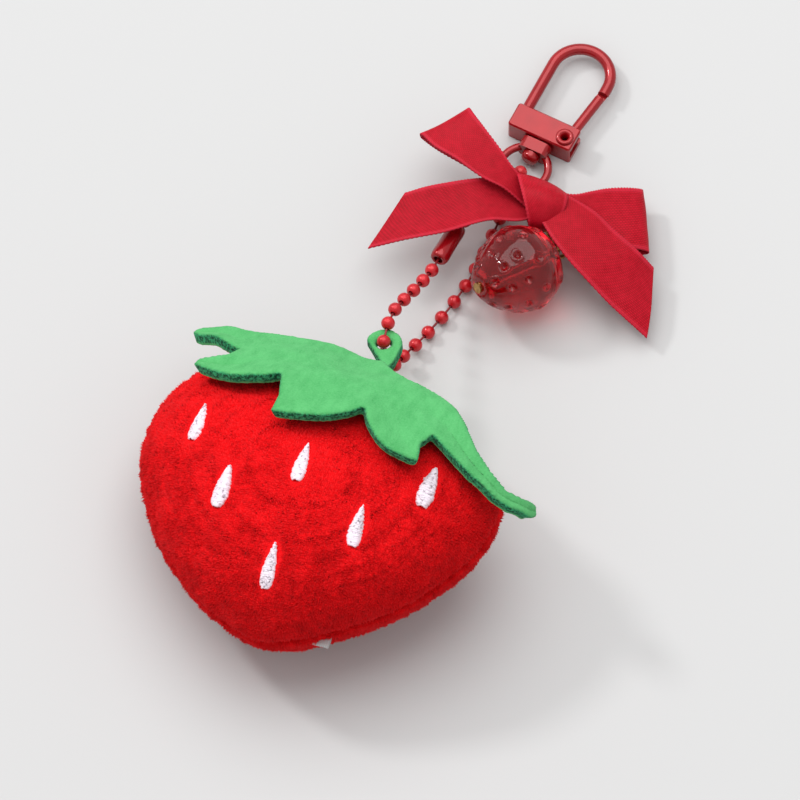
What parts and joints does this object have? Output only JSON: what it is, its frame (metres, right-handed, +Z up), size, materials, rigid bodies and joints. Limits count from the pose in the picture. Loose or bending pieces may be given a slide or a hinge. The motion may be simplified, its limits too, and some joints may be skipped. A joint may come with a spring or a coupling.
{
  "type": "plush keychain",
  "caption": "Strawberry-shaped plush charm on a ball chain, with a ribbon bow, a berry bead and a swivel snap clasp.",
  "frame": {"origin": "under the middle of the bounding box, on the surface that the charm lies on", "axes": "+Y from the berry's tip to the clasp, +Z up out of the berry's front, +X to the right seen from above"},
  "size_m": [0.0768, 0.1357, 0.0337],
  "materials": {
    "minky": "short pile",
    "fibrefill": "loose fibre",
    "felt": "felt",
    "seed_thread": "satin stitch",
    "label_tape": "woven tape",
    "chain_paint": "gloss",
    "link_paint": "gloss",
    "satin": "satin",
    "acrylic": "polished, transparent",
    "clasp_enamel": "gloss enamel",
    "spring_wire": "plain"
  },
  "bodies": {
    "strawberry": {"front_panel": "minky", "back_panel": "minky", "stuffing": "fibrefill", "front_leaf": "felt", "back_leaf": "felt", "front_seeds": "seed_thread", "care_label": "label_tape"},
    "lower_chain": {"lower_chain_balls": "chain_paint", "lower_chain_links": "chain_paint"},
    "upper_chain": {"upper_chain_balls": "chain_paint", "upper_chain_links": "chain_paint", "chain_connector": "chain_paint"},
    "bow": {"ribbon_bow": "satin"},
    "bead_hanger": {"bead_links": "link_paint"},
    "bead_eye": {"bead_pin": "link_paint"},
    "bead": {"berry_bead": "acrylic"},
    "ring": {"swivel_ring": "clasp_enamel"},
    "clasp": {"clasp_frame": "clasp_enamel", "gate_pin": "clasp_enamel", "gate_spring": "spring_wire", "swivel_rivet": "clasp_enamel"},
    "gate": {"clasp_gate": "clasp_enamel"}
  },
  "joints": [
    {"name": "charm_lift", "type": "hinge", "parent": "strawberry", "child": "lower_chain", "pos_m": [-0.00448, -0.00483, 0.01558], "axis": [1, 0, 0], "range_deg": [0, 12]},
    {"name": "chain_bend", "type": "hinge", "parent": "lower_chain", "child": "upper_chain", "pos_m": [-0.0045, 0.0055, 0.0125], "axis": [-0.2656, 0.2213, 0.9383], "range_deg": [-10, 10]},
    {"name": "ring_tilt", "type": "hinge", "parent": "upper_chain", "child": "ring", "pos_m": [0.00393, 0.03744, 0.00225], "axis": [0.9925, -0.1219, 0], "range_deg": [0, 12]},
    {"name": "clasp_swivel", "type": "hinge", "parent": "ring", "child": "clasp", "pos_m": [0.0054, 0.0494, 0.00225], "axis": [0.1219, 0.9925, 0], "continuous": true},
    {"name": "gate_swing", "type": "hinge", "parent": "clasp", "child": "gate", "pos_m": [0.00943, 0.04855, 0.00225], "axis": [0, 0, 1], "range_deg": [0, 25], "stiffness_Nm_per_rad": 0.000004, "springref_deg": -17.19},
    {"name": "bow_tilt", "type": "hinge", "parent": "upper_chain", "child": "bow", "pos_m": [0.00393, 0.03744, 0.00225], "axis": [-0.9925, 0.1219, 0], "range_deg": [0, 12]},
    {"name": "hanger_swing", "type": "hinge", "parent": "upper_chain", "child": "bead_hanger", "pos_m": [0.00673, 0.03809, 0.00225], "axis": [0.8387, 0.5446, 0], "range_deg": [0, 8]},
    {"name": "bead_swing", "type": "hinge", "parent": "bead_hanger", "child": "bead_eye", "pos_m": [0.01586, 0.02719, 0.00497], "axis": [0, 0, 1], "range_deg": [0, 20]},
    {"name": "bead_spin", "type": "hinge", "parent": "bead_eye", "child": "bead", "pos_m": [0.01602, 0.027, 0.00501], "axis": [0.5485, 0.7834, -0.2924], "continuous": true}
  ]
}
